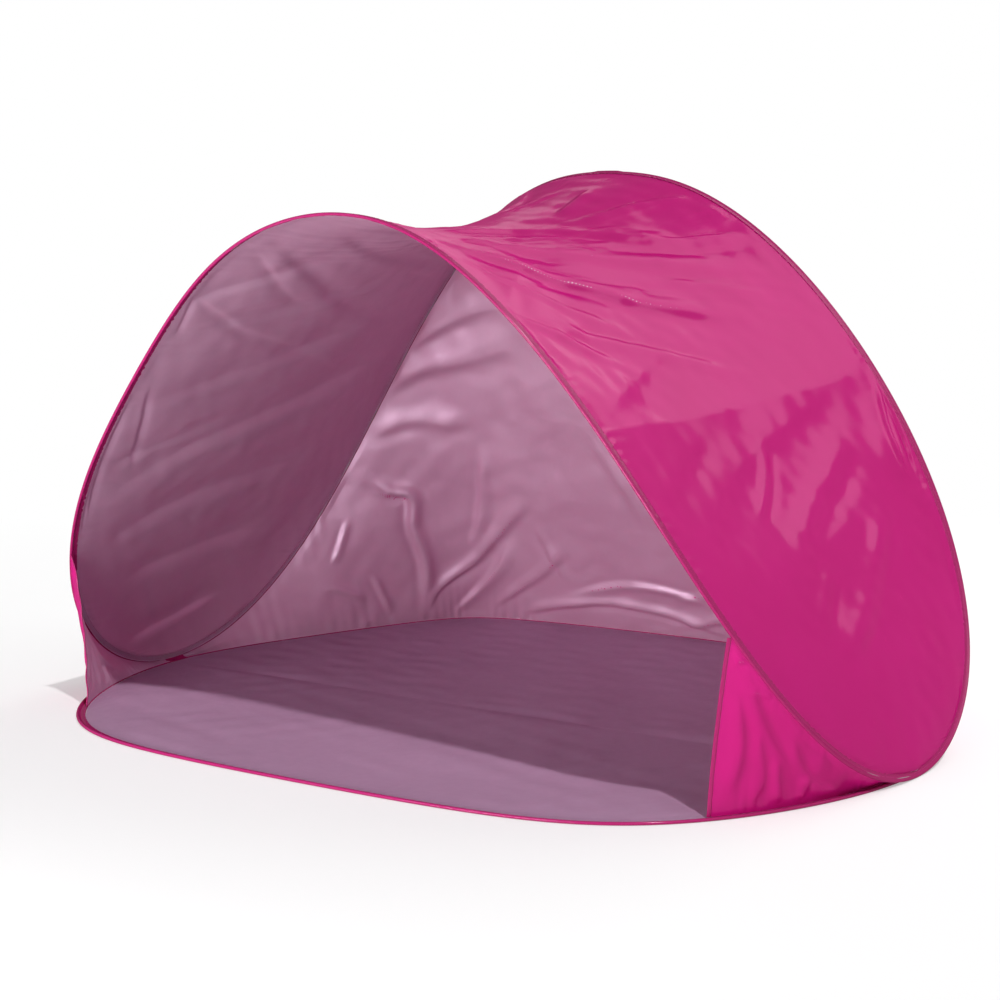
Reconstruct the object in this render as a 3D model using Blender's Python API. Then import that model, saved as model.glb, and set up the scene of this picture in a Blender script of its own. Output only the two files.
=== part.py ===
"""Pop-up beach tent: two closed spring-wire hoops in sewn sleeves carry a saddle canopy,
a back wall, two side gussets and a floor.

Metres, +Z up. The origin is on the ground in the middle of the ground hoop, the open
front faces -Y, and the tent is alike on its left and right.
"""

import bmesh
import bpy
import numpy as np
from math import cos, pi, radians, sin, tan

# Hoops: overall sizes of the two closed spring-wire loops
ground_half_width = 0.75
ground_half_depth = 0.645
front_arch_height = 0.838
front_arch_depth = 0.544
rear_arch_height = 0.912
rear_arch_depth = 0.244

# Wire and the crimped sleeve that joins a hoop's two wire ends
wire_radius = 0.0015
ferrule_wall = 0.0008
ferrule_length = 0.04
ferrule_shoulder = 0.012
ferrule_turn = 0

# Sewn sleeve: a round nose over the wire and a flat stitched tail
sleeve_wall = 0.00065
sleeve_tail_length = 0.0125
sleeve_tail_half_thickness = 0.001
sleeve_tail_rounding = 0.0005

# Cloth
cloth_thickness = 0.0006
gusset_binding_width = 0.006
gusset_binding_half_thickness = 0.0012
canopy_start_height = 0.0052
wall_start_height = 0.030
gusset_start_height = 0.030
shoulder_fold_height = 0.012

# Clearance between touching pieces, room beside the lobes for the ground hem to swing up past
# them, and how far the front arch swings back
touch_gap = 0.0003
lobe_gap = 0.0024
arch_fold = radians(44)

# Outline of the ground hoop, from the middle of its rear, round the right, to the middle of its front
ground_width_shares = (0, 0.527, 0.751, 0.874, 0.980, 0.976, 0.799, 0.493, 0)
ground_depth_shares = (1, 0.962, 0.822, 0.484, 0.078, -0.344, -0.766, -0.968, -1)

# Canopy hoop, from the top of its rear arch, down the right lobe, to the top of its front arch
canopy_width_shares = (0, 0.353, 0.798, 0.997, 0.984, 0.822, 0.572, 0.300, 0)
rear_depth_shares = (1, 1.110, 1.239, 0.304)
front_depth_shares = (0.486, 0.885, 0.972, 1.008, 1)
rear_height_shares = (1, 0.906, 0.439, 0.049)
front_height_shares = (0.049, 0.349, 0.674, 0.913, 1)

# How the cloth is hung between the hoops
canopy_sag_share = 0.07
wall_sag_share = 0.015
gusset_sag_share = 0.03
band_aim_share = 0.12
shoulder_fold_share = 0.266
shoulder_fold_spread_share = 0.07
gusset_top_turn_share = 0.306
gusset_foot_turn_share = 0.370
ring_seat_share = 0.9

# Mesh density
hoop_stations = 34
canopy_rows = 15
wall_rows = 5
touch_share = 0.002
gusset_rows = 4
binding_stations = 5
wire_sides = 6
station_margin_share = 0.25
curve_samples = 2400
sharp_angle = radians(40)

# Looks: colour, roughness and metallic
steel_look = ((0.45, 0.45, 0.46), 0.35, 1)
ferrule_look = ((0.60, 0.60, 0.61), 0.30, 1)
canopy_look = ((0.55, 0.035, 0.22), 0.40, 0)
wall_look = ((0.55, 0.05, 0.25), 0.45, 0)
sleeve_look = ((0.45, 0.02, 0.14), 0.50, 0)
floor_look = ((0.27, 0.16, 0.25), 0.60, 0)

# Sizes that follow from the values above
bore_angles = np.radians([90, 135, 180, 225, 270, 315, 360, 405])
nose_angles = np.radians([90, 130, 180, 230, 270])
bore_apothem_share = cos(pi / 8)
bore_radius = (wire_radius + touch_gap) / bore_apothem_share
nose_radius = bore_radius + sleeve_wall
ferrule_radius = bore_radius + ferrule_wall
swollen_bore_radius = (ferrule_radius + touch_gap) / bore_apothem_share
swollen_nose_radius = swollen_bore_radius + sleeve_wall
sleeve_reach = sleeve_tail_length + sleeve_tail_rounding
fold_height = 2 * nose_radius


def clear_scene():
    for item in list(bpy.data.objects):
        bpy.data.objects.remove(item, do_unlink=True)


def unit(vectors):
    return vectors / np.linalg.norm(vectors, axis=-1, keepdims=True)


def across(vectors, along):
    """The part of each vector that is square to its direction in along, at unit length."""
    return unit(vectors - (vectors * along).sum(-1, keepdims=True) * along)


class Hoop:
    """A smooth closed curve through points numbered evenly round it, its left half mirrored.

    Its place is a turn: 0 in the middle of the rear, 0.5 in the middle of the front,
    with the right side between them and the left side past 0.5 or below 0.
    """

    def __init__(self, right_points):
        right = np.array(right_points, dtype=float)
        left = right[-2:0:-1] * (-1, 1, 1)
        self.points = np.vstack([right, left])

    def at(self, turns):
        turns = np.atleast_1d(np.asarray(turns, dtype=float))
        count = len(self.points)
        waves = np.fft.rfft(self.points, axis=0) / count
        weights = np.full(len(waves), 2.0)
        weights[0] = weights[-1] = 1
        phases = np.exp(2j * pi * np.outer(turns, np.arange(len(waves))))
        return (phases * weights @ waves).real

    def tangent(self, turns):
        step = 1 / curve_samples
        turns = np.atleast_1d(np.asarray(turns, dtype=float))
        return unit(self.at(turns + step) - self.at(turns - step))

    def length_per_turn(self, turn):
        step = 1 / curve_samples
        return np.linalg.norm(self.at(turn + step) - self.at(turn)) / step

    def stretched(self, axis, low, high):
        """The same hoop with its extent along one axis brought to low and high."""
        values = self.at(np.arange(curve_samples) / curve_samples)[:, axis]
        scale = (high - low) / (values.max() - values.min())
        moved = Hoop(self.points[: len(self.points) // 2 + 1])
        moved.points[:, axis] = low + (self.points[:, axis] - values.min()) * scale
        return moved

    def turn_at_depth(self, depth):
        """Where the right side crosses a depth."""
        turns = np.arange(curve_samples // 2 + 1) / curve_samples
        depths = self.at(turns)[:, 1]
        crossings = (depths[:-1] - depth) * (depths[1:] - depth) <= 0
        k = int(np.flatnonzero(crossings)[-1])
        part = (depths[k] - depth) / (depths[k] - depths[k + 1])
        return turns[k] + part / curve_samples

    def lowest_turn(self):
        turns = np.arange(curve_samples // 2 + 1) / curve_samples
        return turns[self.at(turns)[:, 2].argmin()]


def make_ground_hoop():
    points = [
        (ground_half_width * x, ground_half_depth * y, nose_radius)
        for x, y in zip(ground_width_shares, ground_depth_shares)
    ]
    hoop = Hoop(points).stretched(1, -ground_half_depth, ground_half_depth)
    return hoop.stretched(0, -ground_half_width, ground_half_width)


def make_canopy_hoop(ground):
    """The saddle loop, standing on its two lobes just outside the ground hoop."""
    depths = [rear_arch_depth * s for s in rear_depth_shares]
    depths += [-front_arch_depth * s for s in front_depth_shares]
    heights = [rear_arch_height * s for s in rear_height_shares]
    heights += [front_arch_height * s for s in front_height_shares]
    points = [
        (ground_half_width * x, y, z)
        for x, y, z in zip(canopy_width_shares, depths, heights)
    ]
    hoop = Hoop(points).stretched(2, nose_radius, rear_arch_height)
    low_turn = hoop.lowest_turn()
    low = hoop.at(low_turn)[0]
    beside = ground.at(ground.turn_at_depth(low[1]))[0][0] + 2 * nose_radius + lobe_gap
    hoop.points[:, 0] *= beside / low[0]
    return hoop


ground_hoop = make_ground_hoop()
canopy_hoop = make_canopy_hoop(ground_hoop)
lobe_turn = canopy_hoop.lowest_turn()
fold_depth = canopy_hoop.at(lobe_turn)[0][1]
ground_fold_turn = ground_hoop.turn_at_depth(fold_depth)
axis_point = (0, fold_depth, fold_height)


def front_turn(share):
    """Place on the front arch for a share of the way from the right lobe over to the left."""
    return lobe_turn + share * (1 - 2 * lobe_turn)


def rear_turn(share):
    return lobe_turn - share * 2 * lobe_turn


def chord_middle(share):
    return (canopy_hoop.at(front_turn(share)) + canopy_hoop.at(rear_turn(share))) / 2


def canopy_band(turns):
    """Direction in which the canopy leaves its hoop, square to the wire."""
    turns = np.atleast_1d(np.asarray(turns, dtype=float))
    front_share = (turns - lobe_turn) / (1 - 2 * lobe_turn)
    rear_share = (lobe_turn - turns) / (2 * lobe_turn)
    share = np.where(turns >= lobe_turn, front_share, rear_share)
    aim = share + band_aim_share * (1 - 2 * share)
    return across(chord_middle(aim) - canopy_hoop.at(turns), canopy_hoop.tangent(turns))


def ground_band(turns):
    """Direction from the ground wire towards the floor, level and square to the wire."""
    along = ground_hoop.tangent(turns)
    side = np.cross(along, (0, 0, 1))
    inward = -ground_hoop.at(turns) * (1, 1, 0)
    return side * np.sign((side * inward).sum(-1, keepdims=True))


def material(name, colour, roughness, metallic):
    made = bpy.data.materials.new(name)
    made.use_nodes = True
    shader = made.node_tree.nodes["Principled BSDF"]
    shader.inputs["Base Color"].default_value = (*colour, 1)
    shader.inputs["Roughness"].default_value = roughness
    shader.inputs["Metallic"].default_value = metallic
    return made


def add_object(name, builder, look, body):
    """Object from a bmesh in world places, with its own material, hung on its body's empty."""
    bmesh.ops.recalc_face_normals(builder, faces=builder.faces)
    mesh = bpy.data.meshes.new(name)
    builder.to_mesh(mesh)
    builder.free()
    mesh.shade_smooth()
    mesh.set_sharp_from_angle(angle=sharp_angle)
    mesh.materials.append(material(name, *look))
    made = bpy.data.objects.new(name, mesh)
    bpy.context.collection.objects.link(made)
    made.parent = body
    mesh.transform(body.matrix_world.inverted())
    return made


def body_empty(name, place, parent=None):
    made = bpy.data.objects.new(name, None)
    bpy.context.collection.objects.link(made)
    made.parent = parent
    offset = parent.matrix_world.translation if parent else (0, 0, 0)
    made.location = [a - b for a, b in zip(place, offset)]
    bpy.context.view_layer.update()
    return made


def add_rings(builder, rings):
    return [[builder.verts.new(point) for point in ring] for ring in rings]


def bridge(builder, rings):
    for one, two in zip(rings, rings[1:]):
        for k in range(len(one)):
            after = (k + 1) % len(one)
            builder.faces.new((one[k], one[after], two[after], two[k]))


def rod(rings):
    """Solid through a row of closed rings, capped at both ends."""
    builder = bmesh.new()
    made = add_rings(builder, rings)
    bridge(builder, made)
    builder.faces.new(made[0])
    builder.faces.new(made[-1])
    return builder


def pipe(outer_rings, inner_rings):
    """Pipe with open ends: outer and inner rings have as many points each."""
    builder = bmesh.new()
    outer = add_rings(builder, outer_rings)
    inner = add_rings(builder, inner_rings)
    bridge(builder, outer)
    bridge(builder, inner)
    for end in (0, -1):
        bridge(builder, [outer[end], inner[end]])
    return builder


def sheet(grid):
    """Cloth solid round a grid of middle points."""
    rows = np.gradient(grid, axis=0)
    columns = np.gradient(grid, axis=1)
    normals = unit(np.cross(rows, columns))
    builder = bmesh.new()
    sides = []
    for way in (1, -1):
        sides.append(add_rings(builder, grid + normals * way * cloth_thickness / 2))
    for side in sides:
        for one, two in zip(side, side[1:]):
            for k in range(len(one) - 1):
                builder.faces.new((one[k], one[k + 1], two[k + 1], two[k]))
    borders = []
    for side in sides:
        right = [row[-1] for row in side[1:-1]]
        left = [row[0] for row in side[-2:0:-1]]
        borders.append(side[0] + right + side[-1][::-1] + left)
    bridge(builder, borders)
    return builder


def hoop_turns(hoop, start, end):
    """Stations along a stretch of hoop, with extra ones where the sleeve swells over a ferrule."""
    turns = np.linspace(start, end, hoop_stations)
    if start > ferrule_turn:
        return turns
    length = hoop.length_per_turn(ferrule_turn)
    half = (ferrule_length / 2 + touch_gap) / length
    ramp = half + ferrule_shoulder / length
    spacing = (end - start) / hoop_stations
    kept = turns[abs(turns - ferrule_turn) > ramp + spacing * station_margin_share]
    extra = ferrule_turn + np.array([-ramp, -half, 0, half, ramp])
    return np.sort(np.concatenate([kept, extra]))


def swelling(hoop, turns):
    """How far each station is towards the sleeve's width over the ferrule, from 0 to 1."""
    distance = np.linalg.norm(hoop.at(turns) - hoop.at(ferrule_turn), axis=1)
    past = (distance - ferrule_length / 2 - touch_gap) / ferrule_shoulder
    return np.clip(1 - past, 0, 1)


def centres(hoop, turns, swell):
    """Wire centres; where a sleeve on the ground swells, its wire rises with it."""
    places = hoop.at(turns)
    if hoop is ground_hoop:
        places[:, 2] = nose_radius + swell * (swollen_nose_radius - nose_radius)
    return places


def circle_rings(places, side, up, angles, radii):
    flat = np.cos(angles)[None, :, None] * side[:, None] + np.sin(angles)[None, :, None] * up[:, None]
    return places[:, None] + flat * np.reshape(radii, (-1, 1, 1))


def end_at_fold(rings, side):
    """Squares a stretch's two end rings off at the fold line and mitres them above the fold's axis.

    side is 1 for a rear stretch and -1 for a front one.
    """
    for end in (0, -1):
        above = np.maximum(rings[end][:, 2] - fold_height, 0)
        rings[end][:, 1] = fold_depth + side * (touch_gap / 2 + above * tan(arch_fold / 2))
    return rings


def sleeve_rings(hoop, band, turns, side):
    swell = swelling(hoop, turns)
    places = centres(hoop, turns, swell)
    inward = band(turns)
    up = unit(np.cross(hoop.tangent(turns), inward))
    up *= np.sign(up[:, 2:] + (up[:, 2:] == 0))
    noses = nose_radius + swell * (swollen_nose_radius - nose_radius)
    bores = bore_radius + swell * (swollen_bore_radius - bore_radius)
    nose = circle_rings(places, inward, up, nose_angles, noses)
    half = sleeve_tail_half_thickness
    drop = (noses - half)[:, None] if hoop is ground_hoop else 0
    tail_shape = ((sleeve_tail_length, -half), (sleeve_reach, 0), (sleeve_tail_length, half))
    tail = np.stack([places + inward * a + up * (b - drop) for a, b in tail_shape], axis=1)
    outer = end_at_fold(np.concatenate([nose, tail], axis=1), side)
    inner = end_at_fold(circle_rings(places, inward, up, bore_angles, bores), side)
    return outer, inner


def wire_rings(hoop, band, turns, side):
    places = centres(hoop, turns, swelling(hoop, turns))
    inward = band(turns)
    up = unit(np.cross(hoop.tangent(turns), inward))
    angles = np.arange(wire_sides) * 2 * pi / wire_sides
    return end_at_fold(circle_rings(places, inward, up, angles, wire_radius), side)


def ferrule_rings(hoop, band):
    turns = ferrule_turn + np.array([-0.5, 0, 0.5]) * ferrule_length / hoop.length_per_turn(ferrule_turn)
    places = centres(hoop, turns, np.ones(len(turns)))
    inward = band(turns)
    up = unit(np.cross(hoop.tangent(turns), inward))
    outer = circle_rings(places, inward, up, bore_angles, ferrule_radius)
    inner = circle_rings(places, inward, up, bore_angles, bore_radius)
    return outer, inner


def sagged(one, two, rows, sag_share, towards):
    """Grid of straight lines from one edge to the other, drawn in between them by a sag."""
    shares = np.linspace(0, 1, rows)[None, :, None]
    grid = one[:, None] * (1 - shares) + two[:, None] * shares
    chord = two - one
    middle = (one + two) / 2
    normal = unit(np.cross(chord, np.gradient(middle, axis=0)))
    normal *= np.sign((normal * (np.array(towards) - middle)).sum(-1, keepdims=True))
    length = np.linalg.norm(chord, axis=-1, keepdims=True)
    bow = 4 * shares * (1 - shares)
    return grid + bow * (sag_share * length * normal)[:, None], normal


def share_at_height(turn_of_share, height):
    """Share of the way over from the right lobe at which an arch has risen to a height."""
    shares = np.linspace(0, 0.5, curve_samples // 4)
    return shares[np.argmax(canopy_hoop.at(turn_of_share(shares))[:, 2] > height)]


def columns_from(start):
    """Columns at the hoops' own stations past a start share, so cloth and sleeve share their facets."""
    stations = np.linspace(0, 1, hoop_stations)
    return stations[(stations >= start) & (stations <= 1 - start)]


def canopy_grid():
    lift = sleeve_reach + touch_gap
    spread = columns_from(share_at_height(front_turn, canopy_start_height))
    front = front_turn(spread)
    rear = rear_turn(spread)
    one = canopy_hoop.at(front) + canopy_band(front) * lift
    two = canopy_hoop.at(rear) + canopy_band(rear) * lift
    inside = (0, fold_depth, rear_arch_height / 3)
    grid, normal = sagged(one, two, canopy_rows, canopy_sag_share, inside)
    near = np.minimum(spread, 1 - spread)
    ridge = np.exp(-(((near - shoulder_fold_share) / shoulder_fold_spread_share) ** 2))
    rows = np.sin(pi * np.linspace(0, 1, canopy_rows))
    return grid - normal[:, None] * (shoulder_fold_height * ridge[:, None, None] * rows[None, :, None])


def above_ring(turns):
    """Places on the ground sleeve's tail where upright cloth stands on it."""
    places = ground_hoop.at(turns) + ground_band(turns) * sleeve_tail_length * ring_seat_share
    places[:, 2] = 2 * sleeve_tail_half_thickness + 2 * touch_gap + cloth_thickness
    return places


def below_hoop(turns, feet):
    """Places just clear of the canopy sleeve's nose, on the way from the wire to the feet."""
    places = canopy_hoop.at(turns)
    swell = swelling(canopy_hoop, turns)
    clear = nose_radius + swell * (swollen_nose_radius - nose_radius) + touch_gap + cloth_thickness
    way = across(feet - places, canopy_hoop.tangent(turns))
    return places + way * clear[:, None]


def wall_grid():
    spread = columns_from(share_at_height(rear_turn, wall_start_height))
    feet = above_ring(ground_fold_turn * (1 - 2 * spread))
    rear = rear_turn(spread)
    top = below_hoop(rear, feet)
    inside = (0, fold_depth, rear_arch_height / 2)
    return sagged(top, feet, wall_rows, wall_sag_share, inside)[0]


def gusset_grid(side):
    start = share_at_height(front_turn, gusset_start_height)
    spread = columns_from(start)
    tops = front_turn(spread)
    tops = np.append(tops[tops < gusset_top_turn_share - touch_share], gusset_top_turn_share)
    along = (tops - lobe_turn) / (gusset_top_turn_share - lobe_turn)
    feet = above_ring(ground_fold_turn + (gusset_foot_turn_share - ground_fold_turn) * along)
    inside = (0, fold_depth, front_arch_height / 2)
    grid = sagged(below_hoop(tops, feet), feet, gusset_rows, gusset_sag_share, inside)[0]
    return grid * (side, 1, 1)


def binding_rings(side):
    """Flat binding tape along a gusset's free front edge, just clear of its cloth."""
    grid = gusset_grid(1)
    edge = grid[-1]
    shares = np.linspace(0, 1, binding_stations)
    edge_shares = np.linspace(0, 1, len(edge))
    bowed = np.array([np.interp(shares, edge_shares, edge[:, k]) for k in range(3)]).T
    along = unit(np.gradient(bowed, axis=0))
    outward = (edge - grid[-2]).mean(0)
    forward = across(np.repeat(outward[None], binding_stations, axis=0), along)
    flat = unit(np.cross(along, forward))
    middle = bowed + forward * (touch_gap + gusset_binding_width / 2)
    shape = ((-1, -1), (1, -1), (1, 1), (-1, 1))
    rings = [
        middle + forward * a * gusset_binding_width / 2 + flat * b * gusset_binding_half_thickness
        for a, b in shape
    ]
    return np.stack(rings, axis=1) * (side, 1, 1)


def floor_half(turns, side):
    """Level floor cloth inside one half of the ground sleeve, cut straight at the fold line."""
    reach = sleeve_reach + touch_gap
    edge = ground_hoop.at(turns) + ground_band(turns) * reach
    keep = side * (edge[:, 1] - fold_depth) > touch_gap
    edge = edge[keep]
    first = edge[0].copy()
    last = edge[-1].copy()
    for corner in (first, last):
        corner[1] = fold_depth + side * touch_gap / 2
    outline = np.vstack([first[None], edge, last[None]])
    rings = []
    for height in (0, cloth_thickness):
        level = outline.copy()
        level[:, 2] = height
        rings.append(level)
    return rod(rings)


def build():
    clear_scene()
    rear = body_empty("rear_frame", (0, 0, 0))
    arch = body_empty("front_arch", axis_point, rear)
    base = body_empty("front_base", axis_point, arch)

    stretches = (
        ("ground_{}_rear", ground_hoop, ground_band, -ground_fold_turn, ground_fold_turn, 1, rear),
        ("ground_{}_front", ground_hoop, ground_band, ground_fold_turn, 1 - ground_fold_turn, -1, base),
        ("canopy_{}_rear", canopy_hoop, canopy_band, -lobe_turn, lobe_turn, 1, rear),
        ("canopy_{}_front", canopy_hoop, canopy_band, lobe_turn, 1 - lobe_turn, -1, arch),
    )
    for name, hoop, band, start, end, side, body in stretches:
        turns = hoop_turns(hoop, start, end)
        add_object(name.format("wire"), rod(wire_rings(hoop, band, turns, side)), steel_look, body)
        add_object(name.format("sleeve"), pipe(*sleeve_rings(hoop, band, turns, side)), sleeve_look, body)
        if hoop is ground_hoop:
            floor_name = "floor_rear" if side > 0 else "floor_front"
            add_object(floor_name, floor_half(turns, side), floor_look, body)

    add_object("ground_ferrule", pipe(*ferrule_rings(ground_hoop, ground_band)), ferrule_look, rear)
    add_object("canopy_ferrule", pipe(*ferrule_rings(canopy_hoop, canopy_band)), ferrule_look, rear)
    add_object("canopy", sheet(canopy_grid()), canopy_look, rear)
    add_object("back_wall", sheet(wall_grid()), wall_look, rear)
    for word, side in (("right", 1), ("left", -1)):
        add_object(f"gusset_{word}", sheet(gusset_grid(side)), wall_look, arch)
        add_object(f"gusset_binding_{word}", rod(binding_rings(side)), sleeve_look, arch)


build()
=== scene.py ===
"""Looks of the pop-up beach tent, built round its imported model.

Metres, +Z up, the open front faces -Y. A cloth's place is given as a share of the way over from the
tent's right lobe to its left one, and a share of the way across, so that every fold is written in
shares of the cloth that carries it.
"""

from math import cos, pi, radians, sin

import bpy
import numpy as np
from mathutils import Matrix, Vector


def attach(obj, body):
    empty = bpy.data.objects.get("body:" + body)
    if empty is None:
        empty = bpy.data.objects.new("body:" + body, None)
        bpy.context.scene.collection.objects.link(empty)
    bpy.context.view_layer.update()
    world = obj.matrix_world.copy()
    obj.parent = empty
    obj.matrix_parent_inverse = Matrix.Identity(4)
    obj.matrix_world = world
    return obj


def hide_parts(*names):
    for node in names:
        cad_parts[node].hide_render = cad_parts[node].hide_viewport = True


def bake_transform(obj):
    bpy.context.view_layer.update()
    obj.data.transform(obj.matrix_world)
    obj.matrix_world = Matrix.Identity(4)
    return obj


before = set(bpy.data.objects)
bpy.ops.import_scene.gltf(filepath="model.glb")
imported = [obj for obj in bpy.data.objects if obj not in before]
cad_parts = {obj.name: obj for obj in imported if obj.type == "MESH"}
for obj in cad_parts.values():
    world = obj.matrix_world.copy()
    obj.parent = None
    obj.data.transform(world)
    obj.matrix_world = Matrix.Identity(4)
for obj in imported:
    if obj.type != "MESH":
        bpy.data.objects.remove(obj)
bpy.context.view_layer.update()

# Hoops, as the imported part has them
ground_half_width = 0.75
ground_half_depth = 0.645
front_arch_height = 0.838
front_arch_depth = 0.544
rear_arch_height = 0.912
rear_arch_depth = 0.244
nose_radius = 0.0025983
bore_radius = 0.0019483
swollen_nose_radius = 0.0039597
swollen_bore_radius = 0.0033097
ferrule_half_length = 0.0203
ferrule_shoulder = 0.012
lobe_gap = 0.0024
touch_gap = 0.0003
cloth_thickness = 0.0006
ground_width_shares = (0, 0.527, 0.751, 0.874, 0.980, 0.976, 0.799, 0.493, 0)
ground_depth_shares = (1, 0.962, 0.822, 0.484, 0.078, -0.344, -0.766, -0.968, -1)
canopy_width_shares = (0, 0.353, 0.798, 0.997, 0.984, 0.822, 0.572, 0.300, 0)
rear_depth_shares = (1, 1.110, 1.239, 0.304)
front_depth_shares = (0.486, 0.885, 0.972, 1.008, 1)
rear_height_shares = (1, 0.906, 0.439, 0.049)
front_height_shares = (0.049, 0.349, 0.674, 0.913, 1)
curve_samples = 2400

# Hem: a round nose over the wire, then a flat stitched tail
tail_length = 0.013
tail_half_thickness = 0.0008
tail_edge_half_thickness = 0.0004
seam_overlap = 0.004
nose_overlap = 0.0004
stitch_rows = (0.0052, 0.0112)
stitch_pitch = 0.0046
stitch_length = 0.0034
stitch_half_width = 0.0003
stitch_rise = 0.00022
stitch_seat_share = 0.86
stitch_samples = 6000
binding_width = 0.006
binding_half_thickness = 0.0011
binding_power = 0.6
binding_sides = 16
binding_stations = 80
binding_length = 0.26
binding_girth = 0.014
hem_girth = 0.03
bore_girth = 0.01
bore_sides = 12
hem_pucker_pitch = 0.011
canopy_hem_flutter = 0.00028
ground_hem_flutter = 0.00012

# How the cloth hangs between the hems
canopy_sag_share = 0.07
lobe_sag_share = -0.035
taut_lobe_share = 0.09
slack_share = 0.28
wall_sag_share = 0.015
gusset_sag_share = 0.03
band_aim_share = 0.12
shoulder_height = 0.012
shoulder_share = 0.266
shoulder_spread_share = 0.07
gusset_top_turn = 0.306
gusset_foot_turn = 0.370
seat_reach = 0.01125
crest_power = 1.25
seam_reach = 0.012
lining_reach = 0.08
fan_fade_share = 0.15
fold_end_share = 0.3
fold_margin = 4

# Mesh density
canopy_columns = 640
canopy_rows = 190
wall_columns = 460
wall_rows = 170
gusset_columns = 90
gusset_rows = 70
floor_columns = 260
floor_rows = 60
canopy_hem_stations = 1900
ground_hem_stations = 800

random = np.random.default_rng(7)


def unit(vectors):
    return vectors / np.linalg.norm(vectors, axis=-1, keepdims=True)


def across(vectors, along):
    """The part of each vector that is square to its direction in along, at unit length."""
    return unit(vectors - (vectors * along).sum(-1, keepdims=True) * along)


def way_along(line):
    """Length gone along a row of points, at each of them."""
    return np.concatenate([[0], np.cumsum(np.linalg.norm(np.diff(line, axis=0), axis=1))])


class Hoop:
    """A smooth closed curve through evenly numbered points, its left half mirrored. Turn 0 is its rear."""

    def __init__(self, right_points):
        right = np.array(right_points, dtype=float)
        self.points = np.vstack([right, right[-2:0:-1] * (-1, 1, 1)])

    def at(self, turns):
        turns = np.array(turns, dtype=float, ndmin=1)
        waves = np.fft.rfft(self.points, axis=0) / len(self.points)
        weights = np.full(len(waves), 2.0)
        weights[0] = weights[-1] = 1
        phases = np.exp(2j * pi * np.outer(turns.ravel(), np.arange(len(waves))))
        return (phases * weights @ waves).real.reshape(turns.shape + (3,))

    def tangent(self, turns):
        step = 1 / curve_samples
        turns = np.array(turns, dtype=float, ndmin=1)
        return unit(self.at(turns + step) - self.at(turns - step))

    def stretched(self, axis, low, high):
        values = self.at(np.arange(curve_samples) / curve_samples)[:, axis]
        scale = (high - low) / (values.max() - values.min())
        moved = Hoop(self.points[: len(self.points) // 2 + 1])
        moved.points[:, axis] = low + (self.points[:, axis] - values.min()) * scale
        return moved

    def turn_at_depth(self, depth):
        turns = np.arange(curve_samples // 2 + 1) / curve_samples
        depths = self.at(turns)[:, 1]
        k = int(np.flatnonzero((depths[:-1] - depth) * (depths[1:] - depth) <= 0)[-1])
        return turns[k] + (depths[k] - depth) / (depths[k] - depths[k + 1]) / curve_samples

    def lowest_turn(self):
        turns = np.arange(curve_samples // 2 + 1) / curve_samples
        return turns[self.at(turns)[:, 2].argmin()]


def make_ground_hoop():
    pairs = zip(ground_width_shares, ground_depth_shares)
    points = [(ground_half_width * x, ground_half_depth * y, nose_radius) for x, y in pairs]
    hoop = Hoop(points).stretched(1, -ground_half_depth, ground_half_depth)
    return hoop.stretched(0, -ground_half_width, ground_half_width)


def make_canopy_hoop(ground):
    depths = [rear_arch_depth * s for s in rear_depth_shares]
    depths += [-front_arch_depth * s for s in front_depth_shares]
    heights = [rear_arch_height * s for s in rear_height_shares]
    heights += [front_arch_height * s for s in front_height_shares]
    triples = zip(canopy_width_shares, depths, heights)
    points = [(ground_half_width * x, y, z) for x, y, z in triples]
    hoop = Hoop(points).stretched(2, nose_radius, rear_arch_height)
    low = hoop.at(hoop.lowest_turn())[0]
    beside = ground.at(ground.turn_at_depth(low[1]))[0][0] + 2 * nose_radius + lobe_gap
    hoop.points[:, 0] *= beside / low[0]
    return hoop


ground_hoop = make_ground_hoop()
canopy_hoop = make_canopy_hoop(ground_hoop)
lobe_turn = canopy_hoop.lowest_turn()
fold_depth = canopy_hoop.at(lobe_turn)[0][1]
ground_fold_turn = ground_hoop.turn_at_depth(fold_depth)


def front_turn(share):
    return lobe_turn + np.asarray(share) * (1 - 2 * lobe_turn)


def rear_turn(share):
    return lobe_turn - np.asarray(share) * 2 * lobe_turn


def chord_middle(share):
    return (canopy_hoop.at(front_turn(share)) + canopy_hoop.at(rear_turn(share))) / 2


def canopy_band(turns):
    """Direction in which the canopy leaves its hoop, square to the wire."""
    turns = (np.array(turns, dtype=float, ndmin=1) + lobe_turn) % 1 - lobe_turn
    front_share = (turns - lobe_turn) / (1 - 2 * lobe_turn)
    rear_share = (lobe_turn - turns) / (2 * lobe_turn)
    share = np.where(turns >= lobe_turn, front_share, rear_share)
    aim = share + band_aim_share * (1 - 2 * share)
    return across(chord_middle(aim) - canopy_hoop.at(turns), canopy_hoop.tangent(turns))


def ground_band(turns):
    """Direction from the ground wire towards the floor."""
    side = np.cross(ground_hoop.tangent(turns), (0, 0, 1))
    inward = -ground_hoop.at(turns) * (1, 1, 0)
    return side * np.sign((side * inward).sum(-1, keepdims=True))


def swelling(hoop, turns):
    """How far the hem has widened over the wire's joint, from 0 to 1."""
    distance = np.linalg.norm(hoop.at(turns) - hoop.at(0), axis=-1)
    return np.clip(1 - (distance - ferrule_half_length) / ferrule_shoulder, 0, 1)


def nose_at(swell):
    """The nose's radius where the hem has widened by a share."""
    return nose_radius + swell * (swollen_nose_radius - nose_radius)


def smooth(values):
    values = np.clip(values, 0, 1)
    return values * values * (3 - 2 * values)


# Cloth surfaces: each gives its points and its outward direction for shares over and across


def canopy_edges(shares):
    front, rear = front_turn(shares), rear_turn(shares)
    reach = tail_length - seam_overlap
    one = canopy_hoop.at(front) + canopy_band(front) * reach
    two = canopy_hoop.at(rear) + canopy_band(rear) * reach
    return one, two


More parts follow.
